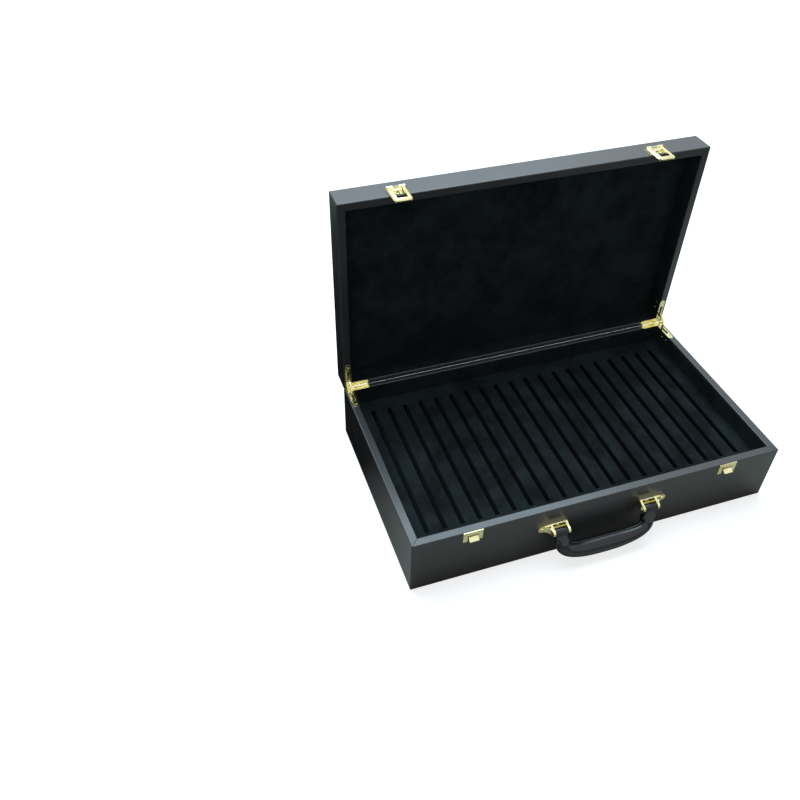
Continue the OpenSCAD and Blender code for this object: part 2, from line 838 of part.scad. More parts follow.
module handle_end_left() {
    left_side() handle_end_right();
}

// Lid
module lid_front_wall() {
    color(leatherette) difference() {
        as_lid() front_wall(lid_h);
        lid_open() for (s = [-1, 1]) latch_screw_places(s * latch_x)
            countersunk(latch_screw_r, latch_screw_l, fixed_fit);
    }
}

module lid_back_wall() {
    color(leatherette) as_lid() back_wall(lid_h);
}

module lid_right_wall() {
    color(leatherette) as_lid() side_wall(lid_h);
}

module lid_left_wall() {
    left_side() lid_right_wall();
}

module lid_board() {
    color(leatherette) as_lid() translate([-in_w / 2, -in_d / 2, 0]) cube([in_w, in_d, panel_t]);
}

module lid_pad() {
    color(velvet) as_lid() translate([-tray_w / 2, -tray_d / 2, panel_t]) cube([tray_w, tray_d, lid_pad_t]);
}

module lid_front_lining() {
    as_lid() long_lining(lid_h, panel_t);
}

module lid_back_lining() {
    as_lid() mirror([0, 1, 0]) long_lining(lid_h, panel_t);
}

module lid_right_lining() {
    as_lid() side_lining(lid_h, panel_t);
}

module lid_left_lining() {
    left_side() lid_right_lining();
}

module lid_hinge_leaf_right() {
    as_lid() hinge_leaf(lid_h, [1]);
}

module lid_hinge_leaf_left() {
    left_side() lid_hinge_leaf_right();
}

module lid_hinge_screws() {
    as_lid() hinge_screw_set(lid_h);
}

module lid_hinge_tacks() {
    as_lid() tack_set(lid_h);
}

// Latches: a plate with two screw tabs, two knuckles and a raised field, a pin, a spring and a loop
latch_plate_rim_gap = 0.5;
latch_plate_past_pin = 2.5;
latch_plate_z0 = lid_rim_z + latch_plate_rim_gap;
latch_plate_z1 = latch_pin_z + latch_plate_past_pin;
field_side_gap = 0.65;
field_knuckle_gap = 0.4;
field_w = window_w - 2 * field_side_gap;
field_z0 = lid_rim_z + 6;
field_z1 = latch_pin_z - loop_knuckle_r - field_knuckle_gap;
field_t = 2.4;
field_edge = 1.2;
field_out = plate_t + field_t;
latch_screw_x = 3.5;
latch_screw_z = lid_rim_z + 3.2;
screw_tab_r = 1.8;
plate_knuckle_x = window_w / 2 - plate_knuckle_gap - plate_knuckle_w / 2;

module latch_screw_places(x) {
    for (s = [-1, 1]) on_front() translate([x + s * latch_screw_x, latch_screw_z, plate_t])
        mirror([0, 0, 1]) children();
}

module latch_plate(x) {
    color(gold) lid_open() difference() {
        union() {
            on_front() translate([x, 0, 0]) linear_extrude(plate_t) {
                difference() {
                    translate([-loop_w / 2, latch_plate_z0]) square([loop_w, latch_plate_z1 - latch_plate_z0]);
                    translate([-window_w / 2, latch_plate_z0 - over])
                        square([window_w, field_z0 - latch_plate_z0 + over]);
                }
                for (s = [-1, 1]) translate([s * latch_screw_x, latch_screw_z]) {
                    circle(screw_tab_r);
                    translate([-screw_tab_r, 0]) square([2 * screw_tab_r, field_z0 - latch_screw_z + over]);
                }
            }
            across(x, field_w) polygon([[0, field_z0], [field_out - field_edge, field_z0],
                [field_out, field_z0 + field_edge], [field_out, field_z1 - field_edge],
                [field_out - field_edge, field_z1], [0, field_z1]]);
            for (s = [-1, 1]) across(x + s * plate_knuckle_x, plate_knuckle_w) {
                translate([0, latch_pin_z - loop_knuckle_r]) square([latch_pin_out, 2 * loop_knuckle_r]);
                translate([latch_pin_out, latch_pin_z]) circle(loop_knuckle_r);
            }
        }
        latch_screw_places(x) countersunk(latch_screw_r, latch_screw_l, fixed_fit);
        across(x, loop_w) translate([latch_pin_out, latch_pin_z]) circle(latch_pin_r + fixed_fit);
    }
}

module latch_pin(x) {
    color(gold) lid_open() across(x, loop_w) translate([latch_pin_out, latch_pin_z]) circle(latch_pin_r);
}

// Latch spring: one unbroken coil round the pin
spring_play = 0.4;
spring_mid_r = latch_pin_r + spring_play + spring_wire / 2;
spring_end_gap = 0.25;
spring_half = plate_knuckle_x - plate_knuckle_w / 2 - spring_end_gap;
spring_pitch = (2 * spring_half - spring_wire) / spring_turns;
spring_rings = 8;
spring_path = [for (k = [0 : spring_turns * spring_rings])
    [(k / spring_rings - spring_turns / 2) * spring_pitch, spring_mid_r * cos(360 * k / spring_rings),
        spring_mid_r * sin(360 * k / spring_rings)]];
spring_least_gap = min([for (i = [0 : len(spring_path) - 1 - spring_rings / 2])
    min([for (j = [i + spring_rings / 2 : len(spring_path) - 1]) norm(spring_path[i] - spring_path[j])])])
    - spring_wire;
echo(latch_spring_least_gap = spring_least_gap);

module coil(path, r, sides) {
    n = len(path);
    pts = [for (i = [0 : n - 1])
        let (d = path[min(i + 1, n - 1)] - path[max(i - 1, 0)], f = d / norm(d),
            s = cross(f, [1, 0, 0]) / norm(cross(f, [1, 0, 0])), q = cross(s, f))
        for (k = [0 : sides - 1])
            path[i] + r * (cos(360 * k / sides) * s + sin(360 * k / sides) * q)];
    skin = [for (i = [0 : n - 2], k = [0 : sides - 1])
        let (a = i * sides + k, b = i * sides + (k + 1) % sides)
            each [[a, b + sides, b], [a, a + sides, b + sides]]];
    caps = concat([for (k = [1 : sides - 2]) [0, k, k + 1]],
        [for (k = [1 : sides - 2]) let (e = (n - 1) * sides) [e, e + k + 1, e + k]]);
    polyhedron(points = pts, faces = concat(skin, caps), convexity = 8);
}

module latch_spring(x) {
    color(steel) lid_open() translate([x, front_y - latch_pin_out, latch_pin_z])
        coil(spring_path, spring_wire / 2, 6);
}

module latch_loop(x) {
    arm_w = (loop_w - window_w) / 2;
    bevel = 1.6;
    corner = 4;
    top = loop_out + loop_t;
    color(gold) lid_open() difference() {
        union() {
            intersection() {
                on_front() translate([x, 0, loop_out]) linear_extrude(loop_t) difference() {
                    union() {
                        translate([-loop_w / 2, loop_bottom + corner])
                            square([loop_w, latch_pin_z - loop_bottom - corner]);
                        translate([-loop_w / 2 + corner, loop_bottom])
                            square([loop_w - 2 * corner, latch_pin_z - loop_bottom]);
                        for (s = [-1, 1]) translate([s * (loop_w / 2 - corner), loop_bottom + corner])
                            circle(corner);
                    }
                    translate([-window_w / 2, bar_top]) square([window_w, latch_pin_z - bar_top + over]);
                }
                translate([x, front_y, loop_bottom]) linear_extrude(latch_pin_z - loop_bottom)
                    polygon([[-loop_w / 2, -loop_out], [-loop_w / 2, bevel - top],
                        [-loop_w / 2 + bevel, -top], [loop_w / 2 - bevel, -top],
                        [loop_w / 2, bevel - top], [loop_w / 2, -loop_out]]);
                across(x, loop_w) polygon([[loop_out, loop_bottom], [top - bevel, loop_bottom],
                    [top, loop_bottom + bevel], [top, latch_pin_z], [loop_out, latch_pin_z]]);
            }
            for (s = [-1, 1]) across(x + s * (loop_w - arm_w) / 2, arm_w)
                translate([latch_pin_out, latch_pin_z]) circle(loop_knuckle_r);
        }
        across(x, loop_w + 2 * over) translate([latch_pin_out, latch_pin_z]) circle(latch_pin_r + pin_fit);
    }
}

module latch_plate_left() {
    latch_plate(-latch_x);
}

module latch_plate_right() {
    latch_plate(latch_x);
}

module latch_plate_screws() {
    color(gold) lid_open() for (s = [-1, 1]) latch_screw_places(s * latch_x)
        countersunk(latch_screw_r, latch_screw_l, 0);
}

module latch_pin_left() {
    latch_pin(-latch_x);
}

module latch_pin_right() {
    latch_pin(latch_x);
}

module latch_spring_left() {
    latch_spring(-latch_x);
}

module latch_spring_right() {
    latch_spring(latch_x);
}

module latch_loop_left() {
    latch_loop(-latch_x);
}

module latch_loop_right() {
    latch_loop(latch_x);
}

base_front_wall();
base_back_wall();
base_left_wall();
base_right_wall();
base_bottom_board();
insert_floor();
insert_ribs();
insert_front_land();
insert_back_land();
insert_left_land();
insert_right_land();
base_front_lining();
base_back_lining();
base_left_lining();
base_right_lining();
base_hinge_leaf_left();
base_hinge_leaf_right();
hinge_pin_left();
hinge_pin_right();
base_hinge_screws();
base_hinge_tacks();
catch_plate_left();
catch_plate_right();
catch_screws();
handle_bracket_left();
handle_bracket_right();
bracket_screws();
handle_pin_left();
handle_pin_right();
stay_left();
stay_right();
handle_core();
handle_grip();
handle_end_left();
handle_end_right();
lid_front_wall();
lid_back_wall();
lid_left_wall();
lid_right_wall();
lid_board();
lid_pad();
lid_front_lining();
lid_back_lining();
lid_left_lining();
lid_right_lining();
lid_hinge_leaf_left();
lid_hinge_leaf_right();
lid_hinge_screws();
lid_hinge_tacks();
latch_plate_left();
latch_plate_right();
latch_plate_screws();
latch_pin_left();
latch_pin_right();
latch_spring_left();
latch_spring_right();
latch_loop_left();
latch_loop_right();
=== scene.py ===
import json
import math

import bmesh
import bpy
from mathutils import Matrix, Vector


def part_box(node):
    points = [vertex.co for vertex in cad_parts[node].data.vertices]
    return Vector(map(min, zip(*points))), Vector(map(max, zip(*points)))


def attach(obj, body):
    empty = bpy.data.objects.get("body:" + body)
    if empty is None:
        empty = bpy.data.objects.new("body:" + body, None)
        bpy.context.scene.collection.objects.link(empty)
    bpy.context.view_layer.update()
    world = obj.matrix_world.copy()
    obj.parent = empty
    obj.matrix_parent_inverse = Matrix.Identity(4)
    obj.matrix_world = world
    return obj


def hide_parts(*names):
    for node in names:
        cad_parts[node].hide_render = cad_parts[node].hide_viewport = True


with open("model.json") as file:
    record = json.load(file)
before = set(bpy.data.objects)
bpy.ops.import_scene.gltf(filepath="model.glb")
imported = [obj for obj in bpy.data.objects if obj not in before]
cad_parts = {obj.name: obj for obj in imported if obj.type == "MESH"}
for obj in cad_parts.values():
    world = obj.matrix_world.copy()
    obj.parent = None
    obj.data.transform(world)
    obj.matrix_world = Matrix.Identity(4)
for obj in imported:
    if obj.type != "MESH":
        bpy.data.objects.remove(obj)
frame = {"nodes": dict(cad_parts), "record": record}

MM = 0.001
UP, FRONT = Vector((0, 0, 1)), Vector((0, -1, 0))
NODES = frame["nodes"]
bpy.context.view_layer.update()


# Camera of the photograph
CAMERA_PLACE = (-0.4363, -0.6495, 0.8132)
CAMERA_YAW, CAMERA_PITCH, CAMERA_ROLL = -19.318, -43.003, 1.069
CAMERA_LENS, CAMERA_SENSOR = 37.03, 36
CAMERA_NEAREST = 0.01


def add_camera():
    bpy.ops.object.camera_add()
    camera = bpy.context.object
    camera.name = "photo_camera"
    camera.data.lens = CAMERA_LENS
    camera.data.sensor_width = CAMERA_SENSOR
    camera.data.clip_start = CAMERA_NEAREST
    camera.matrix_world = (
        Matrix.Translation(CAMERA_PLACE)
        @ Matrix.Rotation(math.radians(CAMERA_YAW), 4, "Z")
        @ Matrix.Rotation(math.radians(90 + CAMERA_PITCH), 4, "X")
        @ Matrix.Rotation(math.radians(CAMERA_ROLL), 4, "Z")
    )
    bpy.context.scene.camera = camera


# Colours and shader nodes
def tone(hex_code):
    """An sRGB hex colour as linear RGBA."""
    channels = [int(hex_code[i:i + 2], 16) / 255 for i in (1, 3, 5)]
    return [c / 12.92 if c <= 0.04045 else ((c + 0.055) / 1.055) ** 2.4 for c in channels] + [1]


def node(tree, kind, inputs=None, **settings):
    """Adds a shader node with its settings; an input takes a value or another node's output."""
    made = tree.nodes.new(kind)
    for name, value in settings.items():
        setattr(made, name, value)
    for socket, value in (inputs or {}).items():
        if isinstance(value, bpy.types.NodeSocket):
            tree.links.new(value, made.inputs[socket])
        else:
            made.inputs[socket].default_value = value
    return made


def new_material(name):
    """An empty material and its node tree."""
    made = bpy.data.materials.new(name)
    made.use_nodes = True
    made.node_tree.nodes.clear()
    return made, made.node_tree


# Most of a noise texture's values lie in this span
NOISE_SPAN = {"From Min": 0.35, "From Max": 0.65}


# PU-coated cloth, calendered with a fine pebble grain and glued over the boards: a satin black whose coat
# mirrors the room in a cold grey, a little cloudy from handling
PEBBLE, PEBBLE_DEPTH = 1.1 * MM, 0.03 * MM
HANDLED_PATCH = 45 * MM
SATIN = {"To Min": 0.42, "To Max": 0.48}
# The cover is folded over the boards' edges
FOLD_ROUND = 0.7 * MM
# Two covers meet in a mitre, a dull dark line at 45 degrees across a corner of the walls: on it a point lies MITRE
# further from the case's middle sideways than it does along the side wall. It is drawn as wide as it needs to show
MITRE = 102.5 * MM
LID_MIDDLE = 215.95 * MM
WALL_INSIDE = 229.9 * MM
SEAM_HALF = 0.35 * MM
COVER_MIRROR, SEAM_MIRROR = 0.7, 0.05
COVER_COAT, SEAM_COAT = 0.45, 0.0


def mitre_seam(tree, place):
    """1 on the lines where the covers of two walls meet, else 0; the open lid lies past y + z = LID_MIDDLE."""
    axes = node(tree, "ShaderNodeSeparateXYZ", {"Vector": place}).outputs
    out = node(tree, "ShaderNodeMath", {0: axes["X"]}, operation="ABSOLUTE").outputs[0]
    base_way = node(tree, "ShaderNodeMath", {0: axes["Y"]}, operation="ABSOLUTE").outputs[0]
    lid_offset = node(tree, "ShaderNodeMath", {0: axes["Z"], 1: LID_MIDDLE}, operation="SUBTRACT").outputs[0]
    lid_way = node(tree, "ShaderNodeMath", {0: lid_offset}, operation="ABSOLUTE").outputs[0]
    behind = node(tree, "ShaderNodeMath", {0: axes["Y"], 1: axes["Z"]}, operation="ADD").outputs[0]
    in_lid = node(tree, "ShaderNodeMath", {0: behind, 1: LID_MIDDLE}, operation="GREATER_THAN").outputs[0]
    way = node(tree, "ShaderNodeMix", {"Factor": in_lid, "A": base_way, "B": lid_way}).outputs["Result"]
    gap = node(tree, "ShaderNodeMath", {0: out, 1: way}, operation="SUBTRACT").outputs[0]
    on_line = node(tree, "ShaderNodeMath", {0: gap, 1: MITRE, 2: SEAM_HALF}, operation="COMPARE").outputs[0]
    on_wall = node(tree, "ShaderNodeMath", {0: out, 1: WALL_INSIDE}, operation="GREATER_THAN").outputs[0]
    return node(tree, "ShaderNodeMath", {0: on_line, 1: on_wall}, operation="MULTIPLY").outputs[0]


def pu_leatherette():
    made, tree = new_material("pu_leatherette")
    place = node(tree, "ShaderNodeTexCoord").outputs["Object"]
    pebbles = node(tree, "ShaderNodeTexVoronoi", {"Vector": place, "Scale": 1 / PEBBLE, "Randomness": 0.9},
                   feature="SMOOTH_F1")
    cloudy = node(tree, "ShaderNodeTexNoise", {"Vector": place, "Scale": 1 / HANDLED_PATCH, "Detail": 3})
    folds = node(tree, "ShaderNodeBevel", {"Radius": FOLD_ROUND}, samples=4)
    bump = node(tree, "ShaderNodeBump", {"Height": pebbles.outputs["Distance"], "Strength": 0.10,
                                         "Distance": PEBBLE_DEPTH, "Normal": folds.outputs["Normal"]})
    black = node(tree, "ShaderNodeMix", {"Factor": cloudy.outputs["Fac"], "A": tone("#090a0b"),
                                         "B": tone("#101213")}, data_type="RGBA")
    satin = node(tree, "ShaderNodeMapRange", {"Value": cloudy.outputs["Fac"], **NOISE_SPAN, **SATIN})
    seam = mitre_seam(tree, place)
    mirror = node(tree, "ShaderNodeMapRange", {"Value": seam, "To Min": COVER_MIRROR, "To Max": SEAM_MIRROR})
    coat = node(tree, "ShaderNodeMapRange", {"Value": seam, "To Min": COVER_COAT, "To Max": SEAM_COAT})
    shader = node(tree, "ShaderNodeBsdfPrincipled", {
        "Base Color": black.outputs["Result"],
        "Roughness": satin.outputs["Result"],
        "IOR": 1.5,
        "Specular IOR Level": mirror.outputs["Result"],
        "Coat Weight": coat.outputs["Result"],
        "Coat Roughness": 0.2,
        "Normal": bump.outputs["Normal"],
        "Coat Normal": bump.outputs["Normal"],
    })
    node(tree, "ShaderNodeOutputMaterial", {"Surface": shader.outputs["BSDF"]})
    return made


# Cotton-backed velvet: short dense pile, drawn as coarse as it needs to show, near black with a cold green cast.
# It is paler in patches where the pile leans, and down in the slots it is painted darker, as painted shade
# between the ribs: between the two heights given below it turns from the one to the other
PILE, PILE_DEPTH = 1.2 * MM, 0.15 * MM
STROKED_PATCH = 34 * MM
PAINTED_SLOT_SHADE = {"From Min": 54.5 * MM, "From Max": 57 * MM}


def pile_velvet():
    made, tree = new_material("pile_velvet")
    place = node(tree, "ShaderNodeTexCoord").outputs["Object"]
    stroked = node(tree, "ShaderNodeTexNoise", {"Vector": place, "Scale": 1 / STROKED_PATCH, "Detail": 4,
                                                "Roughness": 0.6})
    pile = node(tree, "ShaderNodeTexNoise", {"Vector": place, "Scale": 1 / PILE, "Detail": 2})
    bump = node(tree, "ShaderNodeBump", {"Height": pile.outputs["Fac"], "Strength": 0.35, "Distance": PILE_DEPTH})
    lean = node(tree, "ShaderNodeMapRange", {"Value": stroked.outputs["Fac"], **NOISE_SPAN})
    black = node(tree, "ShaderNodeMix", {"Factor": lean.outputs["Result"], "A": tone("#131718"),
                                         "B": tone("#262c2d")}, data_type="RGBA")
    # Painted shade: below the rib tops the velvet darkens towards the slot floors, for the shade between the ribs
    height = node(tree, "ShaderNodeSeparateXYZ", {"Vector": place}).outputs["Z"]
    above_painted_shade = node(tree, "ShaderNodeMapRange", {"Value": height, **PAINTED_SLOT_SHADE})
    with_painted_shade = node(tree, "ShaderNodeMix", {"Factor": above_painted_shade.outputs["Result"], "A": tone("#040505"),
                                          "B": black.outputs["Result"]}, data_type="RGBA")
    shader = node(tree, "ShaderNodeBsdfPrincipled", {
        "Base Color": with_painted_shade.outputs["Result"],
        "Roughness": 0.95,
        "Specular IOR Level": 0.1,
        "Sheen Weight": 0.14,
        "Sheen Roughness": 0.4,
        "Sheen Tint": tone("#97a6a8"),
        "Normal": bump.outputs["Normal"],
    })
    node(tree, "ShaderNodeOutputMaterial", {"Surface": shader.outputs["BSDF"]})
    return made


# Gold-plated steel and brass fittings, buffed before plating: mirror bright with faint polishing marks along
# the case, drawn as coarse as they need to show, duller patches, and edges rounded by the buffing that catch
# the light
MARK_LENGTH, MARK_WIDTH, MARK_DEPTH = 6 * MM, 0.5 * MM, 0.02 * MM
DULL_PATCH = 9 * MM
BUFFED_EDGE = 0.45 * MM
POLISH = {"To Min": 0.12, "To Max": 0.22}


def gold_plate():
    made, tree = new_material("gold_plate")
    place = node(tree, "ShaderNodeTexCoord").outputs["Object"]
    stretched = node(tree, "ShaderNodeMapping", {"Vector": place, "Scale": (1 / MARK_LENGTH, 1 / MARK_WIDTH,
                                                                            1 / MARK_WIDTH)})
    marks = node(tree, "ShaderNodeTexNoise", {"Vector": stretched.outputs["Vector"], "Scale": 1, "Detail": 2})
    rounded = node(tree, "ShaderNodeBevel", {"Radius": BUFFED_EDGE}, samples=4)
    bump = node(tree, "ShaderNodeBump", {"Height": marks.outputs["Fac"], "Strength": 0.05,
                                         "Distance": MARK_DEPTH, "Normal": rounded.outputs["Normal"]})
    cloudy = node(tree, "ShaderNodeTexNoise", {"Vector": place, "Scale": 1 / DULL_PATCH, "Detail": 3})
    worn = node(tree, "ShaderNodeMapRange", {"Value": cloudy.outputs["Fac"], **NOISE_SPAN})
    gold = node(tree, "ShaderNodeMix", {"Factor": worn.outputs["Result"], "A": tone("#f4eaa9"),
                                        "B": tone("#fbf4c2")}, data_type="RGBA")
    polish = node(tree, "ShaderNodeMapRange", {"Value": worn.outputs["Result"], **POLISH})
    shader = node(tree, "ShaderNodeBsdfPrincipled", {
        "Base Color": gold.outputs["Result"],
        "Metallic": 1.0,
        "Roughness": polish.outputs["Result"],
        "Normal": bump.outputs["Normal"],
    })
    node(tree, "ShaderNodeOutputMaterial", {"Surface": shader.outputs["BSDF"]})
    return made


# Split leather with a PU finish, drawn wet over the padding: softer and glossier than the boards' covering
LEATHER_GRAIN, LEATHER_DEPTH = 0.9 * MM, 0.04 * MM
HELD_PATCH = 20 * MM
SHINE = {"To Min": 0.26, "To Max": 0.36}


def handle_leather():
    made, tree = new_material("handle_leather")
    place = node(tree, "ShaderNodeTexCoord").outputs["Object"]
    pebbles = node(tree, "ShaderNodeTexVoronoi", {"Vector": place, "Scale": 1 / LEATHER_GRAIN,
                                                  "Randomness": 1.0}, feature="SMOOTH_F1")
    bump = node(tree, "ShaderNodeBump", {"Height": pebbles.outputs["Distance"], "Strength": 0.16,
                                         "Distance": LEATHER_DEPTH})
    cloudy = node(tree, "ShaderNodeTexNoise", {"Vector": place, "Scale": 1 / HELD_PATCH, "Detail": 3})
    black = node(tree, "ShaderNodeMix", {"Factor": cloudy.outputs["Fac"], "A": tone("#07090a"),
                                         "B": tone("#0e1112")}, data_type="RGBA")
    shine = node(tree, "ShaderNodeMapRange", {"Value": cloudy.outputs["Fac"], **NOISE_SPAN, **SHINE})
    shader = node(tree, "ShaderNodeBsdfPrincipled", {
        "Base Color": black.outputs["Result"],
        "Roughness": shine.outputs["Result"],
        "IOR": 1.5,
        "Specular IOR Level": 0.3,
        "Coat Weight": 0.5,
        "Coat Roughness": 0.16,
        "Normal": bump.outputs["Normal"],
    })
    node(tree, "ShaderNodeOutputMaterial", {"Surface": shader.outputs["BSDF"]})
    return made


# Bonded polyester thread, waxed: black with a dull shine, mottled by its twist
THREAD_TWIST = 0.8 * MM


def sewing_thread():
    made, tree = new_material("sewing_thread")
    place = node(tree, "ShaderNodeTexCoord").outputs["Object"]
    twist = node(tree, "ShaderNodeTexNoise", {"Vector": place, "Scale": 1 / THREAD_TWIST})
    black = node(tree, "ShaderNodeMix", {"Factor": twist.outputs["Fac"], "A": tone("#15181b"),
                                         "B": tone("#24292d")}, data_type="RGBA")
    shader = node(tree, "ShaderNodeBsdfPrincipled", {"Base Color": black.outputs["Result"], "Roughness": 0.5})
    node(tree, "ShaderNodeOutputMaterial", {"Surface": shader.outputs["BSDF"]})
    return made


# Hard-drawn spring steel, bright, with faint streaks from the die
DRAWN_STREAK = 1.5 * MM


def spring_steel():
    made, tree = new_material("spring_steel")
    place = node(tree, "ShaderNodeTexCoord").outputs["Object"]
    drawn = node(tree, "ShaderNodeTexNoise", {"Vector": place, "Scale": 1 / DRAWN_STREAK})
    grey = node(tree, "ShaderNodeMix", {"Factor": drawn.outputs["Fac"], "A": tone("#a3a5a3"),
                                        "B": tone("#c4c5c2")}, data_type="RGBA")
    shader = node(tree, "ShaderNodeBsdfPrincipled", {"Base Color": grey.outputs["Result"], "Metallic": 1.0,
                                                     "Roughness": 0.3})
    node(tree, "ShaderNodeOutputMaterial", {"Surface": shader.outputs["BSDF"]})
    return made


# The finishes by the names of the record's material slots
FINISHES = {
    "leatherette": pu_leatherette(),
    "velvet": pile_velvet(),
    "gold_plate": gold_plate(),
    "handle_leather": handle_leather(),
    "spring_steel": spring_steel(),
}


# Studio: a white floor, one large soft light overhead, an even dim room, and two matt screens that only
# reflections show, as painted reflections: a warm grey mat under the case, painted dark in front as painted shade,
# and on it a card along the left wall, painted dark beside the wall's back part as painted shade that it mirrors
FLOOR_SIZE, FLOOR_TONE, FLOOR_LIFT = 14, "#cbcccc", 0.75
ROOM_TONE, ROOM_LIGHT = "#f4f8ff", 0.22
LIGHT_PLACE, LIGHT_SIZE = (0.0, 0.88, 2.0), (2.2, 2.1)
LIGHT_TONE, LIGHT_POWER = "#d6f1ff", 66
SCREEN_GREY = "#d2ccc0"
# Name, lowest and highest corner, dark tone of the painted shade, and the depths over which the screen turns dark
# and grey again; the mat is dark from its front edge on
SCREENS = (
    ("grey_mat", (-1.5, -1.5, -1 * MM), (1.5, 1.5, 0.3 * MM), "#3c3b39", (-1.6, -1.5), (-0.4, -0.19)),
    ("painted_shade_card", (-0.9, -0.13, 0.3 * MM), (-0.2402, 1.3, 0.6 * MM), "#020202", (-0.12, 0.07), (0.66, 1.2)),
)


def sees_background(tree):
    """1 for the rays that show the background itself: camera, glossy and transmission rays."""
    rays = node(tree, "ShaderNodeLightPath").outputs
    seen = node(tree, "ShaderNodeMath", {0: rays["Is Camera Ray"], 1: rays["Is Glossy Ray"]}, operation="MAXIMUM")
    return node(tree, "ShaderNodeMath", {0: seen.outputs[0], 1: rays["Is Transmission Ray"]},
                operation="MAXIMUM").outputs[0]


def paper_floor():
    bpy.ops.mesh.primitive_plane_add(size=FLOOR_SIZE, location=(0, 0, 0))
    floor = start_piece("studio_floor")
    made, tree = new_material("white_studio_paper")
    paper = node(tree, "ShaderNodeBsdfDiffuse", {"Color": tone(FLOOR_TONE)})
    seen = node(tree, "ShaderNodeMath", {0: sees_background(tree), 1: FLOOR_LIFT}, operation="MULTIPLY")
    lift = node(tree, "ShaderNodeEmission", {"Color": tone("#ffffff"), "Strength": seen.outputs[0]})
    both = node(tree, "ShaderNodeAddShader", {0: paper.outputs[0], 1: lift.outputs[0]})
    node(tree, "ShaderNodeOutputMaterial", {"Surface": both.outputs[0]})
    floor.data.materials.append(made)


def dim_room():
    world = bpy.data.worlds.new("studio_room")
    bpy.context.scene.world = world
    world.use_nodes = True
    tree = world.node_tree
    tree.nodes.clear()
    level = node(tree, "ShaderNodeMapRange", {"Value": sees_background(tree), "To Min": ROOM_LIGHT,
                                              "To Max": 1.0})
    room = node(tree, "ShaderNodeBackground", {"Color": tone(ROOM_TONE), "Strength": level.outputs["Result"]})
    node(tree, "ShaderNodeOutputWorld", {"Surface": room.outputs[0]})


def softbox():
    bpy.ops.object.light_add(type="AREA", location=LIGHT_PLACE)
    light = bpy.context.object
    light.name = "softbox"
    light.data.shape = "RECTANGLE"
    light.data.size, light.data.size_y = LIGHT_SIZE
    light.data.energy = LIGHT_POWER
    light.data.color = tone(LIGHT_TONE)[:3]
    light.rotation_euler = Vector(LIGHT_PLACE).to_track_quat("Z", "Y").to_euler()


def reflected_screen(name, low, high, dark, darkens, brightens):
    screen = box_piece(name, low, high)
    made, tree = new_material(name + "_cloth")
    place = node(tree, "ShaderNodeTexCoord").outputs["Object"]
    depth = node(tree, "ShaderNodeSeparateXYZ", {"Vector": place}).outputs["Y"]
    # A painted reflection: the screen is dark painted shade between the depths given, and grey elsewhere
    past = [node(tree, "ShaderNodeMapRange", {"Value": depth, "From Min": start, "From Max": end})
            for start, end in (darkens, brightens)]
    share = node(tree, "ShaderNodeMath", {0: past[0].outputs["Result"], 1: past[1].outputs["Result"]},
                 operation="SUBTRACT")
    shade = node(tree, "ShaderNodeMix", {"Factor": share.outputs[0], "A": tone(SCREEN_GREY), "B": tone(dark)},
                 data_type="RGBA")
    cloth = node(tree, "ShaderNodeBsdfDiffuse", {"Color": shade.outputs["Result"]})
    node(tree, "ShaderNodeOutputMaterial", {"Surface": cloth.outputs[0]})
    screen.data.materials.append(made)
    screen.visible_camera = screen.visible_diffuse = screen.visible_shadow = False


# Modelling by hand: a primitive at its place, shaped in edit mode by what is picked on it
SAME_PLACE = 0.02 * MM
STRAIGHT_UP = 0.99


def near(a, b):
    return abs(a - b) < SAME_PLACE


def faces_up(normal):
    return normal.z > STRAIGHT_UP


def choose(piece):
    """Leaves this piece alone selected, and active."""
    bpy.ops.object.select_all(action="DESELECT")
    piece.select_set(True)
    bpy.context.view_layer.objects.active = piece


def start_piece(name):
    """Names the primitive that was just added, and its mesh."""
    piece = bpy.context.object
    piece.name = name
    piece.data.name = name
    return piece


def set_place(piece):
    """Puts the piece's place, turn and size into its mesh."""
    choose(piece)
    bpy.ops.object.transform_apply(location=True, rotation=True, scale=True)


def box_piece(name, low, high):
    """A cuboid between its lowest and highest corner."""
    low, high = Vector(low), Vector(high)
    bpy.ops.object.select_all(action="DESELECT")
    bpy.ops.mesh.primitive_cube_add(size=1, location=(low + high) / 2, scale=high - low)
    piece = start_piece(name)
    set_place(piece)
    return piece


def edit(piece):
    """Opens this piece alone in edit mode."""
    choose(piece)
    bpy.ops.object.mode_set(mode="EDIT")


def leave_edit():
    bpy.ops.object.mode_set(mode="OBJECT")


def pick_faces(piece, test):
    """Selects, in edit mode, the faces whose middle and normal pass the test."""
    bpy.ops.mesh.select_mode(type="FACE")
    bpy.ops.mesh.select_all(action="DESELECT")
    mesh = bmesh.from_edit_mesh(piece.data)
    for face in mesh.faces:
        face.select_set(bool(test(face.calc_center_median(), face.normal)))
    bmesh.update_edit_mesh(piece.data)


def pick_edges(piece, test):
    """Selects, in edit mode, the edges whose two ends pass the test."""
    bpy.ops.mesh.select_mode(type="EDGE")
    bpy.ops.mesh.select_all(action="DESELECT")
    mesh = bmesh.from_edit_mesh(piece.data)
    for edge in mesh.edges:
        edge.select_set(bool(test(edge.verts[0].co, edge.verts[1].co)))
    bmesh.update_edit_mesh(piece.data)


def cut(places, direction):
    """Cuts the whole piece in edit mode square to the direction at each of the places."""
    for place in places:
        bpy.ops.mesh.select_all(action="SELECT")
        bpy.ops.mesh.bisect(plane_co=Vector(direction) * place, plane_no=direction)


def push(distance):
    """Extrudes what is picked in edit mode straight up, or down where the distance is negative."""
    bpy.ops.mesh.extrude_region_move(TRANSFORM_OT_translate={"value": (0, 0, distance)})


def apply_modifier(piece, modifier):
    choose(piece)
    bpy.ops.object.modifier_apply(modifier=modifier.name)


def soften(piece, angle=50):
    """Shades the piece smooth, but leaves edges sharper than the angle in degrees."""
    choose(piece)
    bpy.ops.object.shade_smooth_by_angle(angle=math.radians(angle))


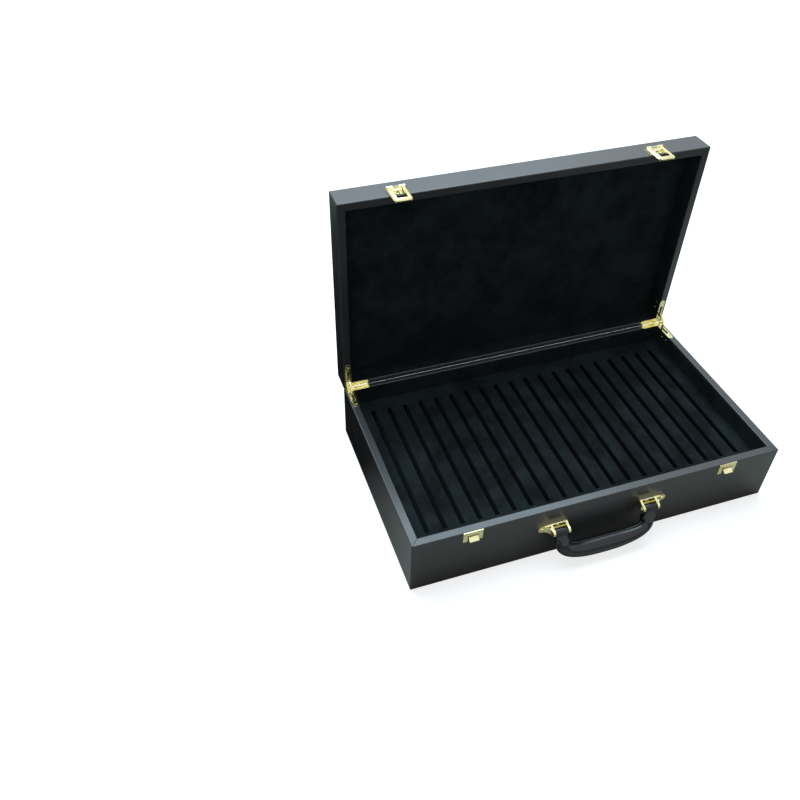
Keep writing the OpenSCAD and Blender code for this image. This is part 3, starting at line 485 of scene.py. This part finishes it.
def join_copies(master, places, name):
    """Copies the piece to each place, each copy with its own mesh, and joins them into one piece."""
    made = []
    for place in places:
        copy = master.copy()
        copy.data = master.data.copy()
        bpy.context.collection.objects.link(copy)
        copy.matrix_world = place
        made.append(copy)
    bpy.data.objects.remove(master)
    bpy.ops.object.select_all(action="DESELECT")
    for copy in made:
        copy.select_set(True)
    bpy.context.view_layer.objects.active = made[0]
    bpy.ops.object.join()
    piece = start_piece(name)
    set_place(piece)
    return piece


def dress(piece, body, slot_name, finish=None):
    """Gives the piece its slot's finish, or another one, and the body that it rides on."""
    piece.data.materials.clear()
    piece.data.materials.append(finish or FINISHES[slot_name])
    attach(piece, body)


# Velvet-covered foam insert: its slots' edges are rounded by the foam, and each rib is a little crowned
SLOT_EDGE_ROUND = 1.5 * MM
RIB_CROWN, RIB_SHOULDER = 0.35 * MM, 3.5 * MM


def velvet_insert():
    front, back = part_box("insert_front_land"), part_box("insert_back_land")
    left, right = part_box("insert_left_land"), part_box("insert_right_land")
    floor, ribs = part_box("insert_floor"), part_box("insert_ribs")
    slots_front, slots_back = front[1][1], back[0][1]
    top, slot_floor = front[1][2], floor[1][2]
    slot_width = ribs[0][0] - left[1][0]
    count = sum(opening["name"].startswith("slot_") for opening in frame["record"]["physics"]["openings"])
    pitch = (right[0][0] - left[1][0] - slot_width) / (count - 1)
    starts = [left[1][0] + i * pitch for i in range(count)]
    sides = [x for start in starts for x in (start, start + slot_width)]

    def within_a_slot(x):
        return any(start < x < start + slot_width for start in starts)

    def between_slot_ends(y):
        return slots_front < y < slots_back

    def slot_edge(a, b):
        middle = (a + b) / 2
        long_side = near(a.x, b.x) and between_slot_ends(middle.y) and any(near(middle.x, x) for x in sides)
        short_side = near(a.y, b.y) and within_a_slot(middle.x) and (
            near(middle.y, slots_front) or near(middle.y, slots_back))
        return near(a.z, top) and near(b.z, top) and (long_side or short_side)

    piece = box_piece("velvet_insert", floor[0], (front[1][0], back[1][1], top))
    edit(piece)
    cut(sides, (1, 0, 0))
    cut([slots_front, slots_back], (0, 1, 0))
    pick_faces(piece, lambda middle, normal: faces_up(normal) and between_slot_ends(middle.y)
               and within_a_slot(middle.x))
    push(slot_floor - top)
    pick_edges(piece, slot_edge)
    bpy.ops.mesh.bevel(offset=SLOT_EDGE_ROUND, segments=4, affect="EDGES")
    pick_faces(piece, lambda middle, normal: faces_up(normal) and near(middle.z, top)
               and between_slot_ends(middle.y) and starts[0] < middle.x < starts[-1])
    bpy.ops.mesh.inset(thickness=RIB_SHOULDER, use_individual=True)
    bpy.ops.transform.translate(value=(0, 0, RIB_CROWN))
    leave_edit()
    soften(piece)
    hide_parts("insert_floor", "insert_ribs", "insert_front_land", "insert_back_land", "insert_left_land",
                "insert_right_land")
    dress(piece, "base", "velvet")


# Velvet over card, glued to the inside of the walls, with the velvet turned over the edge at the rim; each board
# is parted along its length, which keeps its faces short
LINING_ROUND = 0.4 * MM
LINING_PARTS = 24


def lining(node_name, body, rim_way):
    low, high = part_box(node_name)
    piece = box_piece(node_name.replace("lining", "velvet_lining"), low, high)
    axis = max(range(3), key=lambda i: abs(rim_way[i]))
    rim = high[axis] if rim_way[axis] > 0 else low[axis]
    long_way = max(range(3), key=lambda i: high[i] - low[i])
    part = (high[long_way] - low[long_way]) / LINING_PARTS
    direction = [0, 0, 0]
    direction[long_way] = 1
    edit(piece)
    cut([low[long_way] + part * i for i in range(1, LINING_PARTS)], direction)
    pick_edges(piece, lambda a, b: near(a[axis], rim) and near(b[axis], rim)
               and not near(a[long_way], b[long_way]))
    bpy.ops.mesh.bevel(offset=LINING_ROUND, segments=3, affect="EDGES")
    leave_edit()
    soften(piece)
    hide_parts(node_name)
    dress(piece, body, "velvet")


# Thin foam pad under velvet in the lid: eased edges, held along the back, and crowned in front by cloth
# simulation, for which its face is cut into cells
PAD_CELL = 4.5 * MM
PAD_EDGE_ROUND = 1.2 * MM
PAD_HELD = 1.5 * MM
PAD_PRESSURE, PAD_SWELL = 1.5, 0.9 * MM
SWELL_FRAMES = 20


def swell(piece, pressure, cap, held):
    """Cloth simulation of a stuffed cover: it swells, no point moves further than cap, and held points stay."""
    before = [v.co.copy() for v in piece.data.vertices]
    pins = piece.vertex_groups.new(name="held")
    pins.add([v.index for v in piece.data.vertices if held(v.co)], 1.0, "REPLACE")
    cloth = piece.modifiers.new("swell", "CLOTH")
    cloth.settings.vertex_group_mass = "held"
    cloth.settings.use_pressure = True
    cloth.settings.uniform_pressure_force = pressure
    cloth.settings.effector_weights.gravity = 0
    cloth.settings.quality = 4
    for step in range(1, SWELL_FRAMES + 1):
        bpy.context.scene.frame_set(step)
    apply_modifier(piece, cloth)
    bpy.context.scene.frame_set(1)
    piece.vertex_groups.clear()
    for vertex, start in zip(piece.data.vertices, before):
        move = vertex.co - start
        if move.length > cap:
            vertex.co = start + move * (cap / move.length)


def lid_pad():
    low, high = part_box("lid_pad")
    piece = box_piece("lid_velvet_pad", low, high)
    edit(piece)
    for axis, direction in ((0, (1, 0, 0)), (2, (0, 0, 1))):
        length = high[axis] - low[axis]
        cells = round(length / PAD_CELL)
        cut([low[axis] + length * i / cells for i in range(1, cells)], direction)
    pick_edges(piece, lambda a, b: near(a.y, low[1]) and near(b.y, low[1]) and any(
        near(a[i], end) and near(b[i], end) for i in (0, 2) for end in (low[i], high[i])))
    bpy.ops.mesh.bevel(offset=PAD_EDGE_ROUND, segments=2, affect="EDGES")
    leave_edit()
    swell(piece, PAD_PRESSURE, PAD_SWELL, lambda co: co.y > low[1] + PAD_HELD)
    soften(piece)
    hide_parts("lid_pad")
    dress(piece, "lid", "velvet")


# Handle: two leathers sewn together round a padded core, swept along the rails of the CAD grip. It is made
# hanging straight down from the pins' axis and then turned out by HANDLE_REST degrees
HANDLE_REST = 18
HANDLE_DROP = 46.9 * MM
ENDS_X = 59.25 * MM
LEG_WIDTH = 15.9 * MM
GRIP_WIDTH = 25 * MM
# The rails: from the legs' edges each draws in towards a superellipse that starts RAIL_TOP below the pins
RAIL_TOP = 12 * MM
RAIL_STEPS = 72
OUTER_DRAW, INNER_DRAW = 1 * MM, 3.3 * MM
OUTER_SHAPE, INNER_SHAPE = 2.6, 4
# Depths below the pins, with the share of the way from the leg's edge to the superellipse
NECK = 5 * MM
LEG_CURVE = ((NECK, 0), (7 * MM, 0), (9 * MM, 0.15), (10.5 * MM, 0.6))


def handle_place():
    """From the handle hanging straight down at the origin to the handle on its pins, at its rest angle."""
    low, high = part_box("handle_pin_right")
    return (Matrix.Translation((0, (low[1] + high[1]) / 2, (low[2] + high[2]) / 2))
            @ Matrix.Rotation(math.radians(-HANDLE_REST), 4, "X"))


def signed_power(value, power):
    return math.copysign(abs(value) ** power, value)


def handle_rail(leg_edge, draw, drop, shape):
    """One edge of the grip as a list of points, from the left leg to the right leg."""
    reach, depth = leg_edge - draw, drop - RAIL_TOP
    leg = [Vector((leg_edge * (1 - share) + reach * share, 0, -below)) for below, share in LEG_CURVE]
    middle = []
    for i in range(RAIL_STEPS + 1):
        turn = math.pi * (i / RAIL_STEPS - 0.5)
        middle.append(Vector((reach * signed_power(math.sin(turn), 2 / shape), 0,
                              -RAIL_TOP - depth * signed_power(math.cos(turn), 2 / shape))))
    return [Vector((-point.x, 0, point.z)) for point in leg] + middle + leg[::-1]


def handle_rails():
    """The outer and the inner edge of the grip."""
    return (handle_rail(ENDS_X + LEG_WIDTH / 2, OUTER_DRAW, HANDLE_DROP, OUTER_SHAPE),
            handle_rail(ENDS_X - LEG_WIDTH / 2, INNER_DRAW, HANDLE_DROP - GRIP_WIDTH, INNER_SHAPE))


# The grip's section: a sewn band along each edge, of which the inner one stands up like piping, and the padding
# between them, which stands fuller on the face away from the case
STRAP_THICK, GRIP_THICK, GRIP_FRONT = 7.6 * MM, 14 * MM, 8.9 * MM
OUTER_BAND, INNER_BAND = 2.4 * MM, 1.9 * MM
BAND_HALF = 2.2 * MM
CREASE, CREASE_SLOPE = 0.45 * MM, 0.5 * MM
ARC_POINTS = 14
# Distances from an edge, with the share of the band's half thickness
BAND_ROUND = ((0.0, 0.0), (0.2 * MM, 0.7), (0.7 * MM, 1.0))
STRAP_ROUND = 1.2 * MM
# Below the neck, the strap thickens and turns into the padded grip over these depths
SWELL_LENGTH, BLEND_LENGTH = 12 * MM, 14 * MM


def clamped(value):
    return min(1, max(0, value))


def grip_section(width, half_thick, padding):
    """Half of the section from the inner to the outer edge, as (distance along the width, half thickness)."""
    start, end, foot = INNER_BAND, width - OUTER_BAND, BAND_HALF - CREASE
    grip = [(along, BAND_HALF * share) for along, share in BAND_ROUND]
    grip += [(start - CREASE_SLOPE, BAND_HALF), (start, foot)]
    # The padding bulges in a round arc from crease to crease
    chord, rise = (end - start) / 2, half_thick - foot
    bend = (chord * chord + rise * rise) / (2 * rise)
    for i in range(1, ARC_POINTS):
        turn = math.asin(min(1, chord / bend)) * (2 * i / ARC_POINTS - 1)
        grip.append(((start + end) / 2 + bend * math.sin(turn), half_thick - bend * (1 - math.cos(turn))))
    grip += [(end, foot), (end + CREASE_SLOPE, foot)]
    grip += [(width - along, foot * share) for along, share in reversed(BAND_ROUND)]
    section = []
    for along, padded_half in grip:
        edge = min(1, min(along, width - along) / STRAP_ROUND)
        strap_half = half_thick * math.sqrt(1 - (1 - edge) ** 2)
        section.append((along, strap_half * (1 - padding) + padded_half * padding))
    return section


def grip_ring(outer_point, inner_point):
    """The points round the grip between two points of its rails."""
    depth = -(outer_point.z + inner_point.z) / 2
    width = (outer_point - inner_point).length
    across = (outer_point - inner_point) / width
    thick = STRAP_THICK + (GRIP_THICK - STRAP_THICK) * clamped((depth - NECK) / SWELL_LENGTH)
    share = clamped((depth - NECK) / BLEND_LENGTH)
    padding = share * share * (3 - 2 * share)
    front = grip_section(width, thick / 2 + (GRIP_FRONT - GRIP_THICK / 2) * padding, padding)
    back = grip_section(width, thick / 2, padding)
    loop = front + [(along, -half) for along, half in back[-2:0:-1]]
    return [inner_point + across * along + Vector((0, -half, 0)) for along, half in loop]


def padded_grip():
    outer, inner = handle_rails()
    place = handle_place()
    mesh = bmesh.new()
    rings = [[mesh.verts.new(place @ point) for point in grip_ring(a, b)] for a, b in zip(outer, inner)]
    count = len(rings[0])
    for first, second in zip(rings, rings[1:]):
        for i in range(count):
            mesh.faces.new((first[i], first[(i + 1) % count], second[(i + 1) % count], second[i]))
    mesh.faces.new(rings[0][::-1])
    mesh.faces.new(rings[-1])
    bmesh.ops.recalc_face_normals(mesh, faces=mesh.faces)
    data = bpy.data.meshes.new("padded_grip")
    mesh.to_mesh(data)
    mesh.free()
    piece = bpy.data.objects.new("padded_grip", data)
    bpy.context.collection.objects.link(piece)
    soften(piece, angle=60)
    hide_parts("handle_grip")
    dress(piece, "handle", "handle_leather")


# The stitches lie this far in from the outer edge, and start this far below the pins
STITCH_INSET, STITCH_FROM = 1.2 * MM, 20 * MM
STITCH_STEP, STITCH_LENGTH, STITCH_ROUND = 3.2 * MM, 2.3 * MM, 0.3 * MM


def grip_stitching():
    """Two rows of stitches that close the outer band, one on each face of the grip."""
    outer, inner = handle_rails()
    place = handle_place()
    bpy.ops.object.select_all(action="DESELECT")
    bpy.ops.mesh.primitive_uv_sphere_add(segments=8, ring_count=6, radius=1,
                                         scale=(STITCH_LENGTH / 2, STITCH_ROUND, STITCH_ROUND))
    master = start_piece("stitch")
    set_place(master)
    places, travelled, due = [], 0.0, 0.0
    for i in range(1, len(outer)):
        step = outer[i] - outer[i - 1]
        while due <= travelled + step.length:
            point = outer[i - 1] + step * ((due - travelled) / step.length)
            due += STITCH_STEP
            if -point.z < STITCH_FROM:
                continue
            inward = (inner[i] - outer[i]).normalized()
            turned = Matrix((step.normalized(), (0, 1, 0), inward)).transposed().to_4x4()
            for face in (-1, 1):
                at = point + inward * STITCH_INSET + Vector((0, face * (BAND_HALF - CREASE), 0))
                places.append(place @ Matrix.Translation(at) @ turned)
        travelled += step.length
    piece = join_copies(master, places, "grip_stitching")
    soften(piece, angle=80)
    dress(piece, "handle", "handle_leather", sewing_thread())


# The eyes: a roll of leather round the pin, and its underside, below TAIL_TOP, drawn down to the neck
EYE_ROUND, EYE_EDGE_ROUND = 4.8 * MM, 0.7 * MM
TAIL_TOP = -0.3 * EYE_ROUND
TAIL_LENGTH = NECK - 0.6 * EYE_ROUND


def handle_eye(node_name):
    """Leather drawn round the pin: a roll with eased edges and the two tails that go into the grip."""
    low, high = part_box(node_name)
    bpy.ops.object.select_all(action="DESELECT")
    bpy.ops.mesh.primitive_cylinder_add(vertices=48, radius=EYE_ROUND, depth=high[0] - low[0],
                                        rotation=(0, math.pi / 2, 0), location=((low[0] + high[0]) / 2, 0, 0))
    piece = start_piece(node_name.replace("handle_end", "handle_eye"))
    set_place(piece)
    edit(piece)
    pick_faces(piece, lambda middle, normal: middle.z < TAIL_TOP and abs(normal.x) < 0.5)
    push(-TAIL_LENGTH)
    pick_edges(piece, lambda a, b: near(a.x, b.x) and (near(a.x, low[0]) or near(a.x, high[0])))
    bpy.ops.mesh.bevel(offset=EYE_EDGE_ROUND, segments=3, affect="EDGES")
    leave_edit()
    piece.matrix_world = handle_place()
    set_place(piece)
    soften(piece)
    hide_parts(node_name)
    dress(piece, "handle", "handle_leather")


# Screws with a cross recess: radius of the head, length, and height of the dome where there is one
SCREW_KINDS = {
    "hinge": (1.7 * MM, 8 * MM, 0),
    "latch": (1.3 * MM, 6 * MM, 0),
    "bracket": (2.2 * MM, 10.2 * MM, 1.2 * MM),
}
# CAD node, body, the way the heads face, and kind
SCREWS = (
    ("base_hinge_screws", "base", UP, "hinge"),
    ("lid_hinge_screws", "lid", FRONT, "hinge"),
    ("catch_screws", "base", FRONT, "latch"),
    ("latch_plate_screws", "lid", UP, "latch"),
    ("bracket_screws", "base", FRONT, "bracket"),
)
HEAD_TO_SHANK = 2
HEAD_RIM = 0.25 * MM
# A dome rises in even steps and draws in at each as a ball does at these shares of its height, DOME_DRAW saying
# how far
DOME_SHARES, DOME_DRAW = (0.35, 0.65, 0.9, 1.0), 0.72
# The recess as shares of the head's radius
RECESS_REACH, RECESS_WIDTH, RECESS_DEPTH = 0.62, 0.24, 0.45
# No two screws of a node stand closer than this, and each is left at its own angle
SCREWS_APART = 5 * MM
FIRST_TURN, NEXT_TURN = 20, 67


def screw_tops(node_name, out):
    """The middle of each screw's head in a CAD node, whose screws all point along out."""
    axis = max(range(3), key=lambda i: abs(out[i]))
    flat = [i for i in range(3) if i != axis]
    groups = []
    for vertex in NODES[node_name].data.vertices:
        point = NODES[node_name].matrix_world @ vertex.co
        for group in groups:
            if all(abs(point[i] - group[0][i]) < SCREWS_APART for i in flat):
                group.append(point)
                break
        else:
            groups.append([point])
    tops = []
    for group in groups:
        low = [min(point[i] for point in group) for i in range(3)]
        high = [max(point[i] for point in group) for i in range(3)]
        top = [(a + b) / 2 for a, b in zip(low, high)]
        top[axis] = high[axis] if out[axis] > 0 else low[axis]
        tops.append(Vector(top))
    return tops


def widen(times):
    """Scales what is picked in edit mode, but not its height."""
    bpy.ops.transform.resize(value=(times, times, 1))


def cross_screw(radius, length, dome):
    """A screw under the origin: a countersunk or domed head with a cross recess, on its shank."""
    shank = radius / HEAD_TO_SHANK
    bpy.ops.object.select_all(action="DESELECT")
    bpy.ops.mesh.primitive_cylinder_add(vertices=32, radius=shank, depth=length, location=(0, 0, -length / 2))
    screw = start_piece("screw")
    set_place(screw)
    edit(screw)
    pick_faces(screw, lambda middle, normal: faces_up(normal))
    if dome:
        bpy.ops.transform.translate(value=(0, 0, -dome))
        bpy.ops.mesh.extrude_region_move()
        widen(HEAD_TO_SHANK)
        for share in DOME_SHARES:
            push(dome / len(DOME_SHARES))
            now = max(v.co.x for v in bmesh.from_edit_mesh(screw.data).verts if v.select)
            widen(radius * math.sqrt(1 - DOME_DRAW * share * share) / now)
    else:
        # The countersunk head is a cone at 45 degrees under its rim
        cone = radius - shank
        bpy.ops.transform.translate(value=(0, 0, -HEAD_RIM - cone))
        push(cone)
        widen(HEAD_TO_SHANK)
        push(HEAD_RIM)
    leave_edit()
    reach, half, deep = radius * RECESS_REACH, radius * RECESS_WIDTH / 2, radius * RECESS_DEPTH
    for x, y in ((reach, half), (half, reach)):
        bar = box_piece("recess_bar", (-x, -y, -deep), (x, y, deep))
        recess = screw.modifiers.new("recess", "BOOLEAN")
        recess.object = bar
        apply_modifier(screw, recess)
        bpy.data.objects.remove(bar)
    return screw


def screws(node_name, body, out, kind):
    """All the screws of a CAD node, each at its place."""
    master = cross_screw(*SCREW_KINDS[kind])
    stand = out.to_track_quat("Z", "Y").to_matrix().to_4x4()
    places = [Matrix.Translation(top) @ stand @ Matrix.Rotation(math.radians(FIRST_TURN + NEXT_TURN * i), 4, "Z")
              for i, top in enumerate(screw_tops(node_name, out))]
    piece = join_copies(master, places, "cross_" + node_name)
    soften(piece, angle=35)
    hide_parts(node_name)
    dress(piece, body, "gold_plate")


# Scene
add_camera()
paper_floor()
dim_room()
softbox()
for screen in SCREENS:
    reflected_screen(*screen)
for part in frame["record"]["subparts"]:
    cad_node = NODES[part["node"]]
    cad_node.data.materials.clear()
    cad_node.data.materials.append(FINISHES[part["material_slot"]])

velvet_insert()
for side in ("front", "back", "left", "right"):
    lining(f"base_{side}_lining", "base", UP)
    lining(f"lid_{side}_lining", "lid", FRONT)
lid_pad()
padded_grip()
grip_stitching()
for side in ("left", "right"):
    handle_eye(f"handle_end_{side}")
for row in SCREWS:
    screws(*row)

bpy.context.scene.view_settings.view_transform = "Standard"
